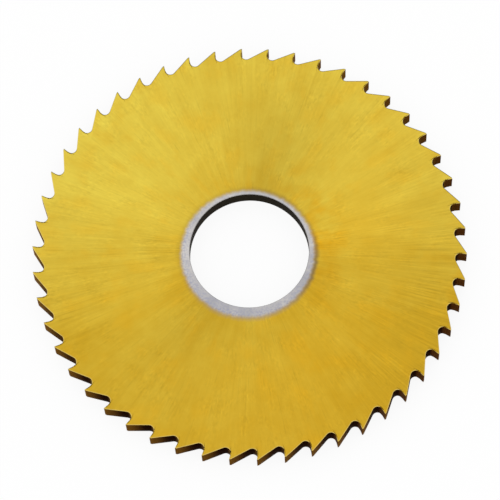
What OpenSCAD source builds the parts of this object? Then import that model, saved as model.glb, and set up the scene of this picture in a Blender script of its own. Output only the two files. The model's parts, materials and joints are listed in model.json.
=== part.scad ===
// Metal slitting saw: one hardened steel disc with a ring of ground teeth.
// It lies flat, its bore on the Z axis and its lower tooth corners at z = 0.
// Seen from above, the rake faces look clockwise, which is the way it cuts.

/* [Disc] */
// Diameter over the tooth tips
outside_d = 80; // [60:1:125]
// Width of the slot that the saw cuts, measured across the tooth tips
cut_w = 4; // [2:0.1:6]
// How far each side is ground back at the hub, so that the disc runs clear in its slot
side_relief = 0.2; // [0.05:0.05:0.5]

/* [Hub] */
// Bore that slides on the arbor
bore_d = 22; // [13:0.5:32]
// Bevel that breaks the edge at both ends of the bore
bore_bevel = 0.1; // [0.05:0.05:0.6]
// Width of the flat ring round the bore that the arbor collars clamp
clamp_ring_w = 7; // [4:0.5:10]

/* [Teeth] */
// Number of teeth round the rim
tooth_count = 50; // [36:1:64]
// Depth of the gullets below the tooth tips
tooth_depth = 2.15; // [1.6:0.05:3]
// Angle at which the rake face leans back under the tip
rake_angle = 8; // [0:1:15]
// Radius at the bottom of each gullet
gullet_r = 0.95; // [0.5:0.05:1.2]
// Width of the narrow land behind each cutting edge
land_w = 0.3; // [0.1:0.05:0.6]
// Angle at which the land falls away behind the cutting edge
land_angle = 8; // [3:1:15]

/* [Hidden] */

disc_fn = 240;
gullet_fn = 48;
titanium_gold = [0.83, 0.70, 0.22];

tip_r = outside_d / 2;
root_r = tip_r - tooth_depth;
bore_r = bore_d / 2;
clamp_r = bore_r + clamp_ring_w;
pitch_angle = 360 / tooth_count;

// The blank is turned this much over size, and the teeth are ground out of it
grinding_stock = 1;
blank_r = tip_r + grinding_stock;
relief_slope = side_relief / (tip_r - clamp_r);
blank_edge_z = -relief_slope * grinding_stock;

function heading(angle) = [cos(angle), sin(angle)];
function turned(p, angle) = [
    p.x * cos(angle) - p.y * sin(angle),
    p.x * sin(angle) + p.y * cos(angle)
];

// One gullet, drawn in front of the tooth whose tip lies on the X axis.
// Its circle reaches down to the root circle, and the rake face runs a hair into it.
gullet_bite = 0.002;
touch_r = gullet_r - gullet_bite;
tip = [tip_r, 0];
rake_dir = heading(180 - rake_angle);
beside_rake = tip + touch_r * heading(270 - rake_angle);
rake_reach = tip_r * cos(rake_angle);
rake_len = rake_reach - sqrt(rake_reach ^ 2 - beside_rake * beside_rake + (root_r + gullet_r) ^ 2);
rake_foot = tip + rake_len * rake_dir;
gullet_centre = beside_rake + rake_len * rake_dir;

// The flank runs straight from the heel of the next tooth's land into the same circle
heel = turned(tip + land_w * heading(90 + land_angle), -pitch_angle);
heel_to_gullet = gullet_centre - heel;
heel_dist = norm(heel_to_gullet);
flank_len = sqrt(heel_dist ^ 2 - touch_r ^ 2);
flank_heading = atan2(heel_to_gullet.y, heel_to_gullet.x) + asin(touch_r / heel_dist);
flank_foot = heel + flank_len * heading(flank_heading);

// Half section of the blank: bore, bevels, clamping ring and the hollow-ground sides
module blank_section() {
    low = side_relief;
    high = cut_w - side_relief;
    polygon([
        [bore_r, low + bore_bevel],
        [bore_r + bore_bevel, low],
        [clamp_r, low],
        [blank_r, blank_edge_z],
        [blank_r, cut_w - blank_edge_z],
        [clamp_r, high],
        [bore_r + bore_bevel, high],
        [bore_r, high - bore_bevel]
    ]);
}

module blank() {
    rotate_extrude($fn = disc_fn) blank_section();
}

// Outline of all the teeth, with the straight faces running in to the gullet centres
module tooth_outline() {
    polygon([
        for (i = [0 : tooth_count - 1])
            for (corner = [heel, flank_foot, gullet_centre, rake_foot, tip])
                turned(corner, i * pitch_angle)
    ]);
}

// The tooth form, right through the blank
module tooth_form() {
    form_h = cut_w + 2 * grinding_stock;
    translate([0, 0, -grinding_stock])
        difference() {
            linear_extrude(form_h) tooth_outline();
            for (i = [0 : tooth_count - 1])
                rotate(i * pitch_angle)
                    translate([gullet_centre.x, gullet_centre.y, -grinding_stock])
                        cylinder(r = gullet_r, h = form_h + 2 * grinding_stock, $fn = gullet_fn);
        }
}

module saw_blade() {
    color(titanium_gold)
        intersection() {
            blank();
            tooth_form();
        }
}

saw_blade();
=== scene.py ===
"""Looks of a slitting saw: a gold coated steel disc with ground teeth and a bare ring round its bore."""

import json
import math

import bpy
import numpy as np
from mathutils import Matrix, Vector


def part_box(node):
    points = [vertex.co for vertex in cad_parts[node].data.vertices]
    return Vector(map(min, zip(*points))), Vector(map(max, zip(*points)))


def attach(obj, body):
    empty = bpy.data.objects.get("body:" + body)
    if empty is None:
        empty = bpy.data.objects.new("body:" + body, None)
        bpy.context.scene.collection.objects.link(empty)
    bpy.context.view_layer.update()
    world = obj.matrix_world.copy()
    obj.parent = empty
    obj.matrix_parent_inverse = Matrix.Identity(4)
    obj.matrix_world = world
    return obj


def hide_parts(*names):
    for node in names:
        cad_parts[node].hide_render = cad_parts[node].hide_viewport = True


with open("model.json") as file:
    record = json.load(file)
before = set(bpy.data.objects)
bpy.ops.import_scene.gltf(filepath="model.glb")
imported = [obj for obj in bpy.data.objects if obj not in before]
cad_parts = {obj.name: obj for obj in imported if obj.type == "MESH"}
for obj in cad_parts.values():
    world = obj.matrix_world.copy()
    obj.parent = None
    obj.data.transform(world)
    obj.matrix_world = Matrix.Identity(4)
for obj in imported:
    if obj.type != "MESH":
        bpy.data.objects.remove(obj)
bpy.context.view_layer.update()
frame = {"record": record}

MM = 0.001
NODE = "saw_blade"
PIECE = "saw_blade_body"

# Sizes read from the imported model
low_corner, high_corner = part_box(NODE)
TIP_R = (high_corner.x - low_corner.x) / 2
LOW_Z = low_corner.z
HIGH_Z = high_corner.z
MID_Z = (LOW_Z + HIGH_Z) / 2
mounts = {mount["name"]: mount for mount in frame["record"]["mounts"]}
BORE_R = mounts["arbor_bore"]["dims"]["r_mm"] * MM
CLAMP_Z = mounts["clamp_face_top"]["pos_m"][2]
BORE_BEVEL = CLAMP_Z - MID_Z - mounts["arbor_bore"]["dims"]["length_mm"] * MM / 2

# Sizes of the clamping ring and the teeth, as in the part's source
CLAMP_RING_W = 7 * MM
TOOTH_COUNT = 50
TOOTH_DEPTH = 2.15 * MM
RAKE_ANGLE = math.radians(8)
GULLET_R = 0.95 * MM
LAND_W = 0.3 * MM
LAND_ANGLE = math.radians(8)
CLAMP_R = BORE_R + CLAMP_RING_W
PITCH = 2 * math.pi / TOOTH_COUNT
ROOT_R = TIP_R - TOOTH_DEPTH

# Fineness of the mesh
FLANK_STEPS = 5
GULLET_STEPS = 9
RAKE_STEPS = 2
LAND_STEPS = 1
EDGE_ROUND = 0.04 * MM
EDGE_STEPS = 4
EDGE_BAND = 0.16 * MM
WEB_R = ROOT_R - 0.9 * MM
WEB_STEPS = 4
SIDE_RINGS = 7
CLAMP_RINGS = 4
MITER_MIN = 0.35
ANGLE_GAIN_MIN = 0.1
SHARP_ANGLE = math.radians(24)
# Name of the mark for the painted highlight and shade on the tooth edges
EDGE_PAINTED_LIGHT = "edge_painted_light"
EDGE_SIDE = "edge_side"

# The camera, fitted to the photo's 500 by 500 frame
CAMERA_LENS = 248.85
CAMERA_SENSOR = 36.0
CAMERA_AIM = Vector((0.143, 0.027, 4.0)) * MM
CAMERA_DISTANCE = 635.8 * MM
CAMERA_AZIMUTH = math.radians(5.64)
CAMERA_ELEVATION = math.radians(70.92)
CAMERA_ROLL = math.radians(-4.25)
CAMERA_NEAR = 0.01
CAMERA_FAR = 20.0


def srgb(red, green, blue):
    """A colour written as 0 to 255 screen values, as linear light."""
    def linear(value):
        value /= 255
        return value / 12.92 if value <= 0.04045 else ((value + 0.055) / 1.055) ** 2.4

    return (linear(red), linear(green), linear(blue), 1.0)


def heading(angle):
    """A step of length 1 in the plane."""
    return np.array((math.cos(angle), math.sin(angle)))


def turned(points, angle):
    """Plane points turned about the saw's axis."""
    c, s = heading(angle)
    return np.asarray(points) @ np.array(((c, s), (-s, c)))


def between(start, end, steps):
    """Points from start up to, but not including, end."""
    return [start + (end - start) * i / steps for i in range(steps)]


def tooth_points():
    """One pitch of the rim in the plane: flank, gullet, rake face and land, in anticlockwise order."""
    tip = np.array((TIP_R, 0.0))
    rake_dir = heading(math.pi - RAKE_ANGLE)
    beside_rake = tip + GULLET_R * heading(1.5 * math.pi - RAKE_ANGLE)
    reach = TIP_R * math.cos(RAKE_ANGLE)
    gullet_at = ROOT_R + GULLET_R
    rake_len = reach - math.sqrt(reach**2 - beside_rake @ beside_rake + gullet_at**2)
    rake_foot = tip + rake_len * rake_dir
    centre = beside_rake + rake_len * rake_dir

    next_heel = tip + LAND_W * heading(math.pi / 2 + LAND_ANGLE)
    heel = turned(next_heel, -PITCH)
    to_centre = centre - heel
    dist = math.hypot(*to_centre)
    flank_len = math.sqrt(dist**2 - GULLET_R**2)
    flank_at = math.atan2(to_centre[1], to_centre[0]) + math.asin(GULLET_R / dist)
    flank_foot = heel + flank_len * heading(flank_at)

    arc_from = flank_at + math.pi / 2
    arc_to = math.pi / 2 - RAKE_ANGLE
    arc_angles = np.linspace(arc_from, arc_to, GULLET_STEPS, endpoint=False)
    arc = [centre + GULLET_R * heading(angle) for angle in arc_angles]
    points = between(heel, flank_foot, FLANK_STEPS) + arc
    points += between(rake_foot, tip, RAKE_STEPS) + between(tip, next_heel, LAND_STEPS)
    return np.array(points)


def rim_outline():
    """The whole toothed rim, anticlockwise, as one closed loop."""
    one = tooth_points()
    return np.vstack([turned(one, i * PITCH) for i in range(TOOTH_COUNT)])


def outward(loop):
    """For each point of the closed loop, the way out from the side after it and from its corner."""
    along = np.roll(loop, -1, 0) - loop
    along /= np.linalg.norm(along, axis=1)[:, None]
    side = np.stack((along[:, 1], -along[:, 0]), 1)
    corner = side + np.roll(side, 1, 0)
    corner /= np.linalg.norm(corner, axis=1)[:, None]
    return side, corner


def inset(loop, distance):
    """The closed loop moved inwards by a distance, with mitred corners."""
    side, corner = outward(loop)
    miter = np.maximum((corner * side).sum(1), MITER_MIN)
    return loop - corner * (distance / miter)[:, None]


def web_angles(loop):
    """An always growing angle for each point of the rim, close to its own angle."""
    step = np.roll(loop, -1, 0) - loop
    own = np.arctan2(loop[:, 1], loop[:, 0])
    gain = np.angle(np.exp(1j * (np.roll(own, -1) - own)))
    gain = np.maximum(gain, ANGLE_GAIN_MIN * np.linalg.norm(step, axis=1) / TIP_R)
    gain *= 2 * math.pi / gain.sum()
    return own[0] + np.concatenate(((0.0,), np.cumsum(gain)[:-1]))


def half_width(radius):
    """Half of the disc's width at a radius: flat at the hub, wider towards the tips."""
    share = np.clip((radius - CLAMP_R) / (TIP_R - CLAMP_R), 0, 1)
    clamp = CLAMP_Z - MID_Z
    return clamp + (HIGH_Z - MID_Z - clamp) * share


def side_loops():
    """Loops of the upper half, from the middle of the rim over the face to the middle of the bore.
    Each is (points in the plane, height above the middle, name of the surface that follows it)."""
    rim = rim_outline()
    loops = [(rim, np.zeros(len(rim)), "wall")]
    for i in range(EDGE_STEPS + 1):
        turn = math.pi / 2 * i / EDGE_STEPS
        points = inset(rim, EDGE_ROUND * (1 - math.cos(turn)))
        drop = EDGE_ROUND * (1 - math.sin(turn))
        radius = np.linalg.norm(points, axis=1)
        loops.append((points, half_width(radius) - drop, "face"))
    band = inset(rim, EDGE_BAND)
    loops.append((band, half_width(np.linalg.norm(band, axis=1)), "face"))

    angles = web_angles(rim)
    circle = np.stack((np.cos(angles), np.sin(angles)), 1)
    for i in range(1, WEB_STEPS + 1):
        points = band + (circle * WEB_R - band) * i / WEB_STEPS
        loops.append((points, half_width(np.linalg.norm(points, axis=1)), "face"))
    radii = list(np.linspace(WEB_R, CLAMP_R, SIDE_RINGS)[1:])
    radii += list(np.linspace(CLAMP_R, BORE_R + BORE_BEVEL, CLAMP_RINGS)[1:])
    for radius in radii:
        loops.append((circle * radius, np.full(len(rim), half_width(radius)), "face"))
    loops[-1] = (loops[-1][0], loops[-1][1], "bevel")
    wall_top = CLAMP_Z - MID_Z - BORE_BEVEL
    loops.append((circle * BORE_R, np.full(len(rim), wall_top), "bore"))
    loops.append((circle * BORE_R, np.zeros(len(rim)), "bore"))
    return loops


def keep_values(mesh, name, values):
    """Stores one number for each point of the mesh."""
    attribute = mesh.attributes.new(name, "FLOAT", "POINT")
    attribute.data.foreach_set("value", values.astype(np.float32))


def saw_mesh(surfaces):
    """The whole saw as one closed mesh, with a material index for each surface."""
    upper = side_loops()
    lower = [(points, -height, "") for points, height, _ in upper[1:-1]]
    rings = [(points, height) for points, height, _ in upper]
    rings += [(points, height) for points, height, _ in reversed(lower)]
    names = [name for _, _, name in upper[:-1]]
    names += list(reversed(names))
    count = len(rings[0][0])

    verts = np.vstack([np.column_stack((points, MID_Z + height)) for points, height in rings])
    here = np.arange(count)
    after = np.roll(here, -1)
    faces = []
    for i in range(len(rings)):
        a = i * count
        b = (i + 1) % len(rings) * count
        faces.append(np.stack((a + here, a + after, b + after, b + here), 1))
    mesh = bpy.data.meshes.new(PIECE)
    mesh.from_pydata(verts.tolist(), [], np.vstack(faces).tolist())
    index = np.repeat([surfaces.index(name) for name in names], count)
    mesh.polygons.foreach_set("material_index", index.astype(np.int32))

    # Points on the rounded tooth edges are marked for their painted highlight and shade, with how far
    # each rim point looks towards +Y
    on_edge = [1.0 if 1 <= i <= EDGE_STEPS + 1 else 0.0 for i in range(len(upper))]
    on_edge += list(reversed(on_edge[1:-1]))
    keep_values(mesh, EDGE_PAINTED_LIGHT, np.repeat(on_edge, count))
    faces_back = outward(upper[0][0])[1][:, 1]
    keep_values(mesh, EDGE_SIDE, np.tile(faces_back, len(rings)))
    mesh.shade_smooth()
    mesh.set_sharp_from_angle(angle=SHARP_ANGLE)
    mesh.validate()
    mesh.update()
    return mesh


class Nodes:
    """Adds shader nodes to a tree and links them, one short call each."""

    def __init__(self, tree):
        self.tree = tree
        tree.nodes.clear()

    def add(self, kind, values=(), **settings):
        node = self.tree.nodes.new("ShaderNode" + kind)
        for name, value in settings.items():
            setattr(node, name, value)
        for name, value in dict(values).items():
            self.set(node.inputs[name], value)
        return node

    def set(self, socket, value):
        if isinstance(value, bpy.types.NodeSocket):
            self.tree.links.new(value, socket)
        else:
            socket.default_value = value

    def math(self, operation, *values):
        node = self.add("Math", operation=operation)
        for socket, value in zip(node.inputs, values):
            self.set(socket, value)
        return node.outputs[0]

    def vector_math(self, operation, *values):
        """Both outputs: the first is a vector, and Value is a number."""
        node = self.add("VectorMath", operation=operation)
        for socket, value in zip(node.inputs, values):
            self.set(socket, value)
        return node.outputs

    def weighted(self, *parts):
        """The sum of (value, weight) pairs."""
        total = 0.0
        for value, weight in parts:
            total = self.math("MULTIPLY_ADD", value, weight, total)
        return total

    def remap(self, value, low, high, out_low=0.0, out_high=1.0, smooth=False):
        kind = "SMOOTHSTEP" if smooth else "LINEAR"
        ends = {"Value": value, "From Min": low, "From Max": high, "To Min": out_low, "To Max": out_high}
        return self.add("MapRange", ends, interpolation_type=kind).outputs["Result"]

    def blend(self, factor, first, second, mode="MIX"):
        node = self.add("Mix", data_type="RGBA", blend_type=mode)
        self.set(node.inputs["Factor"], factor)
        self.set(node.inputs["A"], first)
        self.set(node.inputs["B"], second)
        return node.outputs["Result"]

    def noise(self, vector, scale, detail=2.0, roughness=0.5):
        values = {"Vector": vector, "Scale": scale, "Detail": detail, "Roughness": roughness}
        return self.add("TexNoise", values).outputs["Fac"]

    def surface(self, values):
        """Ends a material in one shader with these values."""
        shader = self.add("BsdfPrincipled", values)
        self.add("OutputMaterial", {"Surface": shader.outputs[0]})


# Distances from the axis at which the width of streaks is measured
STREAK_R = 26 * MM
INNER_STREAK_R = 18 * MM
OUTER_STREAK_R = 28 * MM


class Polar:
    """Object coordinates of the saw as radius, direction and grinding streaks."""

    def __init__(self, nodes):
        self.nodes = nodes
        coords = nodes.add("TexCoord")
        self.place = coords.outputs["Object"]
        self.normal = coords.outputs["Normal"]
        parts = nodes.add("SeparateXYZ", {"Vector": self.place})
        self.x = parts.outputs["X"]
        self.y = parts.outputs["Y"]
        flat = nodes.add("CombineXYZ", {"X": self.x, "Y": self.y}).outputs[0]
        self.radius = nodes.vector_math("LENGTH", flat)["Value"]
        self.direction = nodes.vector_math("NORMALIZE", flat)[0]

    def ramp(self, start, end):
        """0 at the start radius, changing smoothly to 1 at the end radius."""
        return self.nodes.remap(self.radius, start, end, smooth=True)

    def fan(self, degrees, sharpness):
        """1 in one direction from the axis, falling to 0 on both sides of it."""
        centre = (*heading(math.radians(degrees)), 0.0)
        along = self.nodes.vector_math("DOT_PRODUCT", self.direction, centre)["Value"]
        return self.nodes.math("POWER", self.nodes.math("MAXIMUM", along, 0.0), sharpness)

    def fans(self, total, fans, reach=1.0):
        """A total with some fans added to it, each given as (degrees, sharpness, amount)."""
        for degrees, sharpness, amount in fans:
            part = self.nodes.math("MULTIPLY", self.fan(degrees, sharpness), reach)
            total = self.nodes.math("MULTIPLY_ADD", part, amount, total)
        return total

    def streaks(self, width, length, detail=2.0, roughness=0.5, at=STREAK_R):
        """Noise drawn out along the radius, so that it looks like grinding marks.
        The width is measured at one distance from the axis."""
        scale = at / width
        rise = self.nodes.math("MULTIPLY", self.radius, 1 / (scale * length))
        lift = self.nodes.add("CombineXYZ", {"Z": rise}).outputs[0]
        vector = self.nodes.vector_math("ADD", self.direction, lift)[0]
        return self.nodes.noise(vector, scale, detail, roughness)

    def even_streaks(self, width, length, detail=2.0, roughness=0.5):
        """Streaks that keep about the same width from the hub to the rim."""
        inner = self.streaks(width, length, detail, roughness, INNER_STREAK_R)
        outer = self.streaks(width, length, detail, roughness, OUTER_STREAK_R)
        outer_share = self.ramp(INNER_STREAK_R, OUTER_STREAK_R)
        inner_share = self.nodes.math("SUBTRACT", 1.0, outer_share)
        return self.nodes.weighted((inner, inner_share), (outer, outer_share))


def new_material(name):
    """An empty material, and what adds nodes to it."""
    material = bpy.data.materials.new(name)
    material.use_nodes = True
    return material, Nodes(material.node_tree)


# A noise texture varies about this value
NOISE_MIDDLE = 0.5

# A fan is (degrees, sharpness), and fans are rows of (degrees, sharpness, amount)
# A RANGE is the low and high end of a pattern, for use with the values that it turns into

# The bare ring lies a little to one side of the bore, with a soft and slightly ragged edge
BARE_R = 12.65 * MM
BARE_SHIFT_X = -0.25 * MM
BARE_SHIFT_Y = -0.6 * MM
BARE_SOFT = 0.48 * MM
BARE_RAGGED = 0.65 * MM
RAGGED_STREAKS = {"width": 2 * MM, "length": 3 * MM, "detail": 3.0}
THIN_FAN = (278, 2)
THIN_AMOUNT = 0.28

# A stain follows the edge of the bare ring
STAIN_W = 1.1 * MM
STAIN_WEAK = 0.3
STAIN_FANS = ((345, 6, 0.6), (65, 8, 0.3))
STAIN_BROWN = srgb(140, 116, 60)
STAIN_SLATE = srgb(104, 92, 72)
SLATE_FAN = (350, 1.5)

# Ground bare steel, with painted light: paler towards +Y, and paler or duller in fans round the axis
STEEL_DULL = srgb(163, 163, 168)
STEEL_PALE = srgb(206, 202, 198)
STEEL_BLUE = srgb(157, 157, 176)
STEEL_PAINTED_LIGHT_FANS = (
    (15, 10, 0.25),
    (120, 10, 0.2),
    (180, 6, 0.4),
    (240, 20, -0.15),
    (297, 16, 0.25),
    (330, 40, -0.15),
)
STEEL_PAINTED_LIGHT_UP = 0.1
STEEL_STREAKS = {"width": 5 * MM, "length": 10 * MM}
SPECKLE = {"scale": 2400.0, "roughness": 0.6}
SPECKLE_RANGE = (0.4, 0.65)
BLUE_AMOUNTS = (0.2, 1.0)


def steel_colour(nodes, polar):
    """Ground bare steel, faintly blue and uneven, with painted light that is paler towards +Y and in
    fans.
    """
    # Painted light towards +Y and in fans, mixed with the steel's grinding streaks
    pale = nodes.weighted((polar.y, STEEL_PAINTED_LIGHT_UP / BARE_R), (polar.streaks(**STEEL_STREAKS), 1.0))
    steel = nodes.blend(polar.fans(pale, STEEL_PAINTED_LIGHT_FANS), STEEL_DULL, STEEL_PALE)
    blue = nodes.remap(polar.radius, BORE_R, BARE_R, *BLUE_AMOUNTS)
    speckle = nodes.remap(nodes.noise(polar.place, **SPECKLE), *SPECKLE_RANGE)
    return nodes.blend(nodes.math("MULTIPLY", blue, speckle), steel, STEEL_BLUE)


def bare_ring(nodes, polar, gold):
    """The gold with bare steel round the bore, and the stain where they meet."""
    dx = nodes.math("POWER", nodes.math("SUBTRACT", polar.x, BARE_SHIFT_X), 2.0)
    dy = nodes.math("POWER", nodes.math("SUBTRACT", polar.y, BARE_SHIFT_Y), 2.0)
    away = nodes.math("SQRT", nodes.math("ADD", dx, dy))
    away = nodes.math("MULTIPLY_ADD", polar.streaks(**RAGGED_STREAKS), BARE_RAGGED, away)
    bare = nodes.remap(away, BARE_R + BARE_SOFT, BARE_R - BARE_SOFT, smooth=True)
    close = nodes.remap(away, BARE_R + STAIN_W, BARE_R, smooth=True)
    edge = nodes.math("MULTIPLY", close, nodes.math("SUBTRACT", 1.0, bare))

    # On one side the coating is thin beside the ring, and some steel shows through
    thin = nodes.math("MULTIPLY", edge, polar.fan(*THIN_FAN))
    bare = nodes.math("MULTIPLY_ADD", thin, THIN_AMOUNT, bare)
    colour = nodes.blend(bare, gold, steel_colour(nodes, polar))
    stain = nodes.math("MULTIPLY", edge, polar.fans(STAIN_WEAK, STAIN_FANS))
    return nodes.blend(stain, colour, nodes.blend(polar.fan(*SLATE_FAN), STAIN_BROWN, STAIN_SLATE))


# Colours of the coating, and how much each pattern turns the deep one into the pale one
GOLD_DEEP = srgb(199, 161, 41)
GOLD_PALE = srgb(225, 202, 78)
GOLD_ORANGE = srgb(220, 168, 32)
TINT_R = 30 * MM
TINT_START = -0.26
# Painted light: paler towards +Y and towards -X, and in three lobes round the axis
TINT_PAINTED_LIGHT_UP = 0.28
TINT_PAINTED_LIGHT_ACROSS = -0.09
TINT_PAINTED_LIGHT_LOBES = 0.17
TINT_BROAD = 0.25
TINT_WIDE = 0.42
TINT_MARKS = 0.2
TINT_BLOTCHES = 0.5
TINT_HUB = -0.15
# Painted light: deeper towards +Y and -Y
TINT_PAINTED_LIGHT_ENDS = -0.08
BROAD_STREAKS = {"width": 20 * MM, "length": 40 * MM, "detail": 1.0}
WIDE_STREAKS = {"width": 4 * MM, "length": 14 * MM}
BLOTCHES = {"scale": 260.0, "detail": 3.0, "roughness": 0.6}

# Orange patches, and fans that fade towards the rim, start away from the hub or lie at the hub
ORANGE_STREAKS = {"width": 3.5 * MM, "length": 6 * MM, "detail": 3.0}
ORANGE_RANGE = (0.48, 0.7)
ORANGE_PATCHES = 0.24
ORANGE_FANS = ((11, 20, 0.38), (320, 8, 0.1))
OUTER_ORANGE_FANS = ((42, 30, 0.14), (285, 3, 0.3))
HUB_ORANGE_FANS = ((342, 12, 0.5),)
FAN_FADE_R = 18 * MM
OUTER_FAN_R = 25 * MM
HUB_W = 8 * MM

# Flecks of deeper and paler coating, mostly on one side of the bare ring
FLECKS = {"scale": 300.0}
FLECK_RANGE = (0.35, 0.65)
FLECK_FAN = (25, 2)
FLECK_W = 9 * MM
FLECK_ORANGE = 0.48
FLECK_SHADE = -0.06


def hub_flecks(nodes, polar):
    """Flecks beside the bare ring, from -1 where the coating is paler to 1 where it is deeper."""
    flecks = nodes.remap(nodes.noise(polar.place, **FLECKS), *FLECK_RANGE, -1.0, 1.0)
    beside_ring = polar.ramp(BARE_R + FLECK_W, BARE_R)
    return nodes.math("MULTIPLY", flecks, nodes.math("MULTIPLY", beside_ring, polar.fan(*FLECK_FAN)))


def gold_colour(nodes, polar, marks, flecks):
    """The coating's colour: paler on one side and in three lobes as painted light, also paler along the
    marks, with orange parts.
    """
    at_hub = polar.ramp(BARE_R + HUB_W, BARE_R)
    sine = nodes.math("DIVIDE", polar.y, polar.radius)
    sine_squared = nodes.math("POWER", sine, 2.0)

    # The sine of three times the angle is the sine times three, less four times its cube
    lobe_factor = nodes.math("MULTIPLY_ADD", sine_squared, -4 / TINT_R, 3 / TINT_R)
    # Painted light set by the direction from the axis, mixed with the coating's uneven tone
    tone_and_painted_light = nodes.weighted(
        (polar.y, TINT_PAINTED_LIGHT_UP / TINT_R),
        (polar.x, TINT_PAINTED_LIGHT_ACROSS / TINT_R),
        (nodes.math("MULTIPLY", polar.y, lobe_factor), TINT_PAINTED_LIGHT_LOBES),
        (polar.streaks(**BROAD_STREAKS), TINT_BROAD),
        (polar.streaks(**WIDE_STREAKS), TINT_WIDE),
        (marks, TINT_MARKS),
        (nodes.noise(polar.place, **BLOTCHES), TINT_BLOTCHES),
        (at_hub, TINT_HUB),
        (sine_squared, TINT_PAINTED_LIGHT_ENDS),
    )
    gold = nodes.blend(nodes.math("ADD", tone_and_painted_light, TINT_START), GOLD_DEEP, GOLD_PALE)

    patches = polar.streaks(**ORANGE_STREAKS)
    orange = nodes.remap(patches, *ORANGE_RANGE, 0.0, ORANGE_PATCHES, smooth=True)
    orange = polar.fans(orange, ORANGE_FANS, polar.ramp(TIP_R, FAN_FADE_R))
    orange = polar.fans(orange, OUTER_ORANGE_FANS, polar.ramp(BARE_R, OUTER_FAN_R))
    orange = polar.fans(orange, HUB_ORANGE_FANS, at_hub)
    orange = nodes.math("MULTIPLY_ADD", flecks, FLECK_ORANGE, orange)
    return nodes.blend(orange, gold, GOLD_ORANGE)


# Grinding marks, wider and finer ones, and the depth of their shade where they show least and most
MARKS = {"width": 0.9 * MM, "length": 12 * MM, "detail": 3.0, "roughness": 0.6}
FINE_MARKS = {"width": 0.24 * MM, "length": 9 * MM, "roughness": 0.6}
MARKS_SHARE = 0.35
FINE_SHARE = 0.65
GRAIN_WEAK = 0.15
GRAIN_STRONG = 0.37

# The sides where they show most: a fan, two radii, and the strength at each of them
GRAIN_SIDES = (
    ((352, 4), (22 * MM, 34 * MM), (0.7, 3.6)),
    ((186, 5), (16 * MM, 26 * MM), (1.4, 0.75)),
)
PATCHES = {"scale": 140.0}
PATCH_RANGE = (0.35, 0.65)
PATCH_STRENGTHS = (0.4, 1.5)

# Single dark strokes, and short uneven ticks
STROKES = {"width": 0.3 * MM, "length": 7 * MM, "detail": 1.0}
STROKE_RANGE = (0.66, 0.76)
STROKE_DEPTH = 0.08
TICKS = {"width": 0.34 * MM, "length": 0.8 * MM, "detail": 1.0}
TICK_DEPTH = 0.18
TICK_PATCHES = {"scale": 420.0}
TICK_PATCH_RANGE = (0.42, 0.66)
TICK_STRENGTHS = (0.3, 1.8)

# Wide fans of light and shade, which fade towards the rim, and one at the hub
SHADE_FANS = (
    (20, 20, 0.05),
    (76, 20, -0.13),
    (120, 20, 0.04),
    (160, 12, 0.06),
    (207, 30, 0.08),
    (236, 16, -0.07),
    (318, 10, 0.04),
)
HUB_SHADE_FANS = ((338, 14, -0.11),)


def marks_and_painted_shade(nodes, polar, grain, flecks):
    """Grinding marks as a grey near 1, stronger in patches and on two opposite sides, with painted light
    and shade in fans.
    """
    level = 0.0
    for fan, radii, strengths in GRAIN_SIDES:
        strength = nodes.remap(polar.radius, *radii, *strengths)
        level = nodes.math("MULTIPLY_ADD", polar.fan(*fan), strength, level)
    depth = nodes.math("MULTIPLY_ADD", level, GRAIN_STRONG - GRAIN_WEAK, GRAIN_WEAK)
    patchy = nodes.remap(nodes.noise(polar.place, **PATCHES), *PATCH_RANGE, *PATCH_STRENGTHS)
    depth = nodes.math("MULTIPLY", depth, patchy)
    swing = nodes.math("SUBTRACT", grain, NOISE_MIDDLE)
    shade = nodes.math("MULTIPLY_ADD", swing, depth, 1.0)

    strokes = nodes.remap(polar.streaks(**STROKES), *STROKE_RANGE, 0.0, STROKE_DEPTH)
    shade = nodes.math("SUBTRACT", shade, nodes.math("MULTIPLY", strokes, patchy))
    ticks = nodes.math("SUBTRACT", polar.even_streaks(**TICKS), NOISE_MIDDLE)
    uneven = nodes.remap(nodes.noise(polar.place, **TICK_PATCHES), *TICK_PATCH_RANGE, *TICK_STRENGTHS)
    ticks = nodes.math("MULTIPLY", ticks, nodes.math("MULTIPLY", uneven, patchy))
    shade = nodes.math("MULTIPLY_ADD", ticks, TICK_DEPTH, shade)

    # Painted light and shade in wide fans, and at the hub
    shade = polar.fans(shade, SHADE_FANS, polar.ramp(TIP_R, FAN_FADE_R))
    shade = polar.fans(shade, HUB_SHADE_FANS, polar.ramp(BARE_R + HUB_W, BARE_R))
    shade = nodes.math("MULTIPLY_ADD", flecks, FLECK_SHADE, shade)
    return nodes.add("CombineColor", {"Red": shade, "Green": shade, "Blue": shade}).outputs[0]


# Painted highlight and shade on the rounded tooth edges
EDGE_HIGHLIGHT = srgb(230, 209, 132)
EDGE_SHADE = srgb(86, 80, 46)
EDGE_HIGHLIGHT_AMOUNT = 0.6
EDGE_SHADE_AMOUNT = 0.95
EDGE_SIDE_RANGE = (0.0, 0.6)


def edge_highlight_and_shade(nodes, colour):
    """The colour with the tooth edges painted pale as a highlight on one side and dull as shade on the
    other.
    """
    on_rounded_edge = nodes.add("Attribute", attribute_name=EDGE_PAINTED_LIGHT).outputs["Fac"]
    side = nodes.add("Attribute", attribute_name=EDGE_SIDE).outputs["Fac"]
    edge = nodes.blend(nodes.remap(side, *EDGE_SIDE_RANGE), EDGE_HIGHLIGHT, EDGE_SHADE)
    amount = nodes.remap(side, *EDGE_SIDE_RANGE, EDGE_HIGHLIGHT_AMOUNT, EDGE_SHADE_AMOUNT)
    return nodes.blend(nodes.math("MULTIPLY", on_rounded_edge, amount), colour, edge)


# Gloss of the faces
FACE_ANISOTROPY = 0.75
FACE_GRAIN_RANGE = (0.25, 0.75)
FACE_ROUGHNESS = (0.44, 0.34)
GROOVE_STRENGTH = 0.3
GROOVE_DEPTH = 0.01 * MM


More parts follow.
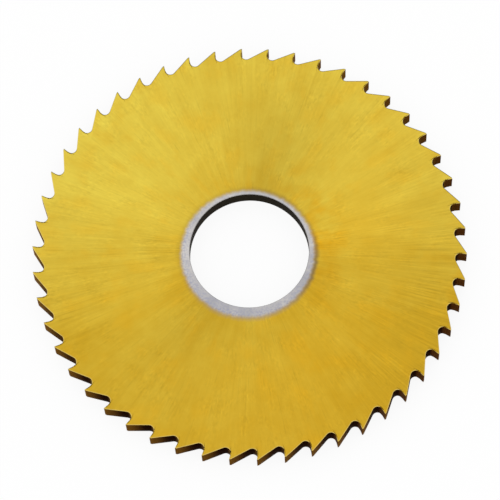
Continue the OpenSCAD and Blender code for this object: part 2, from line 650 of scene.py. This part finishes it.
def coated_face():
    """Gold coating over radial grinding marks, with bare steel round the bore."""
    material, nodes = new_material("coated_face")
    polar = Polar(nodes)
    marks = polar.even_streaks(**MARKS)
    grain = nodes.weighted((marks, MARKS_SHARE), (polar.even_streaks(**FINE_MARKS), FINE_SHARE))
    flecks = hub_flecks(nodes, polar)
    shade = marks_and_painted_shade(nodes, polar, grain, flecks)
    gold = nodes.blend(1.0, gold_colour(nodes, polar, marks, flecks), shade, "MULTIPLY")
    # Painted highlight and shade on the tooth edges
    colour = edge_highlight_and_shade(nodes, bare_ring(nodes, polar, gold))

    bump = nodes.add("Bump", {"Height": grain, "Strength": GROOVE_STRENGTH, "Distance": GROOVE_DEPTH})
    grooves = nodes.add("Tangent", direction_type="RADIAL", axis="Z")
    nodes.surface({
        "Base Color": colour,
        "Metallic": 1.0,
        "Roughness": nodes.remap(grain, *FACE_GRAIN_RANGE, *FACE_ROUGHNESS),
        "Anisotropic": FACE_ANISOTROPY,
        "Normal": bump.outputs[0],
        "Tangent": grooves.outputs[0],
    })
    return material


# The walls between the teeth and the wall of the bore
WALL_DARK = srgb(28, 14, 5)
WALL_BROWN = srgb(98, 62, 26)
# Painted light on the walls that look one way along X
WALL_LIT = srgb(172, 124, 36)
WALL_BRONZE = srgb(118, 82, 28)
WALL_EDGE_TINT = (0.46, 0.38, 0.34, 1.0)
WALL_METAL = 0.35
BROWN_H = 1.0 * MM
BRONZE_FOOT = 0.3 * MM
FLANK_RANGE = (0.3, 0.7)
# How far along X the walls look, and how much painted light they get there
LIT_WALL_RANGE = (0.35, 0.95)
LIT_WALL_AMOUNT = 0.45
WALL_STRETCH = (1.0, 1.0, 0.15)
WALL_GRAIN = {"scale": 9000.0, "detail": 3.0, "roughness": 0.6}
WALL_DARK_RANGE = (0.3, 0.75)
WALL_DARK_AMOUNTS = (0.05, 0.5)
WALL_GRAIN_RANGE = (0.3, 0.7)
WALL_ROUGHNESS = (0.34, 0.5)
BORE_DARK = srgb(26, 22, 16)
BORE_PALE = srgb(50, 44, 34)
BORE_EDGE_TINT = (0.5, 0.5, 0.5, 1.0)
BORE_STREAKS = {"width": 0.3 * MM, "length": 20 * MM, "detail": 3.0}
BORE_ROUGHNESS = (0.35, 0.5)


def tooth_walls():
    """Dark bronze flanks, gullets and rake faces, ground across the rim, with painted light on walls
    that look one way along X.
    """
    material, nodes = new_material("tooth_walls")
    polar = Polar(nodes)
    faces_out = nodes.vector_math("DOT_PRODUCT", polar.normal, polar.direction)["Value"]
    on_flank = nodes.remap(faces_out, *FLANK_RANGE)
    rake = nodes.blend(polar.ramp(ROOT_R, ROOT_R + BROWN_H), WALL_DARK, WALL_BROWN)
    flank = nodes.blend(polar.ramp(ROOT_R + BRONZE_FOOT, TIP_R), WALL_DARK, WALL_BRONZE)
    base = nodes.blend(on_flank, rake, flank)

    # Painted light: rake faces that look towards +X turn a light yellow brown, and so do flanks that
    # look towards -X
    sideways = nodes.add("SeparateXYZ", {"Vector": polar.normal}).outputs["X"]
    sideways = nodes.math("MULTIPLY", sideways, nodes.remap(on_flank, 0.0, 1.0, 1.0, -1.0))
    lit_wall = nodes.remap(sideways, *LIT_WALL_RANGE, 0.0, LIT_WALL_AMOUNT)
    base = nodes.blend(lit_wall, base, WALL_LIT)

    stretched = nodes.vector_math("MULTIPLY", polar.place, WALL_STRETCH)[0]
    grain = nodes.noise(stretched, **WALL_GRAIN)
    dark = nodes.remap(grain, *WALL_DARK_RANGE, *WALL_DARK_AMOUNTS)
    nodes.surface({
        "Base Color": nodes.blend(dark, base, WALL_DARK),
        "Metallic": WALL_METAL,
        "Roughness": nodes.remap(grain, *WALL_GRAIN_RANGE, *WALL_ROUGHNESS),
        "Specular IOR Level": 0.0,
        "Specular Tint": WALL_EDGE_TINT,
    })
    return material


def bore_wall():
    """The bore, dark ground steel."""
    material, nodes = new_material("bore_wall")
    polar = Polar(nodes)
    grain = polar.streaks(**BORE_STREAKS)
    nodes.surface({
        "Base Color": nodes.blend(grain, BORE_DARK, BORE_PALE),
        "Metallic": WALL_METAL,
        "Roughness": nodes.remap(grain, *WALL_GRAIN_RANGE, *BORE_ROUGHNESS),
        "Specular IOR Level": 0.0,
        "Specular Tint": BORE_EDGE_TINT,
    })
    return material


BEVEL_GREY = srgb(112, 112, 110)
BEVEL_GREY_SHARE = 0.2
BEVEL_ROUGHNESS = 0.6


def bevel_steel():
    """The bevel at each end of the bore, bare and a little dull."""
    material, nodes = new_material("bevel_steel")
    polar = Polar(nodes)
    nodes.surface({
        "Base Color": nodes.blend(BEVEL_GREY_SHARE, steel_colour(nodes, polar), BEVEL_GREY),
        "Metallic": 1.0,
        "Roughness": BEVEL_ROUGHNESS,
    })
    return material


def build_saw():
    """The finished saw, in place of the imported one."""
    makers = {"face": coated_face, "wall": tooth_walls, "bore": bore_wall, "bevel": bevel_steel}
    mesh = saw_mesh(list(makers))
    for maker in makers.values():
        mesh.materials.append(maker())
    saw = bpy.data.objects.new(PIECE, mesh)
    bpy.context.scene.collection.objects.link(saw)
    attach(saw, "root")
    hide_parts(NODE)


WHITE = (1.0, 1.0, 1.0, 1.0)
FLOOR_SIZE = 6.0
FLOOR_COLOUR = (0.95, 0.95, 0.95, 1.0)
FLOOR_SHADOW_SHARE = 0.1


def seen_directly(nodes):
    """1 for rays from the camera, off a glossy surface or through a clear one, and 0 for other light."""
    path = nodes.add("LightPath")
    seen = nodes.math("MAXIMUM", path.outputs["Is Camera Ray"], path.outputs["Is Glossy Ray"])
    return nodes.math("MAXIMUM", seen, path.outputs["Is Transmission Ray"])


def floor_white():
    """Even white where it is seen, with a share of plain white paint that keeps the shadow."""
    material, nodes = new_material("floor_white")
    diffuse = nodes.add("BsdfDiffuse", {"Color": FLOOR_COLOUR})
    glow = nodes.add("Emission", {"Color": WHITE, "Strength": 1.0})
    share = nodes.math("MULTIPLY", seen_directly(nodes), 1 - FLOOR_SHADOW_SHARE)
    mixed = nodes.add("MixShader", {0: share, 1: diffuse.outputs[0], 2: glow.outputs[0]})
    nodes.add("OutputMaterial", {"Surface": mixed.outputs[0]})
    return material


def build_floor():
    """A plain floor under the saw."""
    half = FLOOR_SIZE / 2
    corners = [(x, y, LOW_Z) for x, y in ((-half, -half), (half, -half), (half, half), (-half, half))]
    mesh = bpy.data.meshes.new("floor")
    mesh.from_pydata(corners, [], [(0, 1, 2, 3)])
    mesh.materials.append(floor_white())
    floor = bpy.data.objects.new("floor", mesh)
    bpy.context.scene.collection.objects.link(floor)


def build_world():
    """An even white surround."""
    world = bpy.data.worlds.new("surround")
    world.use_nodes = True
    bpy.context.scene.world = world
    nodes = Nodes(world.node_tree)
    back = nodes.add("Background", {"Color": WHITE, "Strength": 1.0})
    nodes.add("OutputWorld", {"Surface": back.outputs[0]})


SOFTBOX_PLACE = Vector((-0.1, 0.25, 0.4))
SOFTBOX_SIZE = 0.25
SOFTBOX_POWER = 0.05
SOFTBOX_COLOUR = (0.95, 0.98, 1.0)


def build_softbox():
    """A square area lamp that faces the saw from behind it."""
    lamp = bpy.data.lights.new("key_softbox", "AREA")
    lamp.shape = "SQUARE"
    lamp.size = SOFTBOX_SIZE
    lamp.energy = SOFTBOX_POWER
    lamp.color = SOFTBOX_COLOUR
    holder = bpy.data.objects.new("key_softbox", lamp)
    holder.visible_camera = False
    holder.location = SOFTBOX_PLACE
    holder.rotation_mode = "QUATERNION"
    holder.rotation_quaternion = (-SOFTBOX_PLACE).to_track_quat("-Z", "Y")
    bpy.context.scene.collection.objects.link(holder)


def build_camera():
    """The camera, which looks down on the saw at a slant."""
    camera = bpy.data.cameras.new("photo_camera")
    camera.lens = CAMERA_LENS
    camera.sensor_width = CAMERA_SENSOR
    camera.clip_start = CAMERA_NEAR
    camera.clip_end = CAMERA_FAR
    holder = bpy.data.objects.new("photo_camera", camera)
    level = math.cos(CAMERA_ELEVATION)
    back = Vector((
        level * math.sin(CAMERA_AZIMUTH),
        -level * math.cos(CAMERA_AZIMUTH),
        math.sin(CAMERA_ELEVATION),
    ))
    right = Vector((0, 0, 1)).cross(back).normalized()
    up = back.cross(right)
    turn = Matrix.Rotation(CAMERA_ROLL, 3, back)
    axes = Matrix((turn @ right, turn @ up, back)).transposed()
    holder.matrix_world = Matrix.Translation(CAMERA_AIM + back * CAMERA_DISTANCE) @ axes.to_4x4()
    bpy.context.scene.collection.objects.link(holder)
    bpy.context.scene.camera = holder


bpy.context.scene.view_settings.view_transform = "Standard"
build_saw()
build_floor()
build_world()
build_softbox()
build_camera()
bpy.context.view_layer.update()
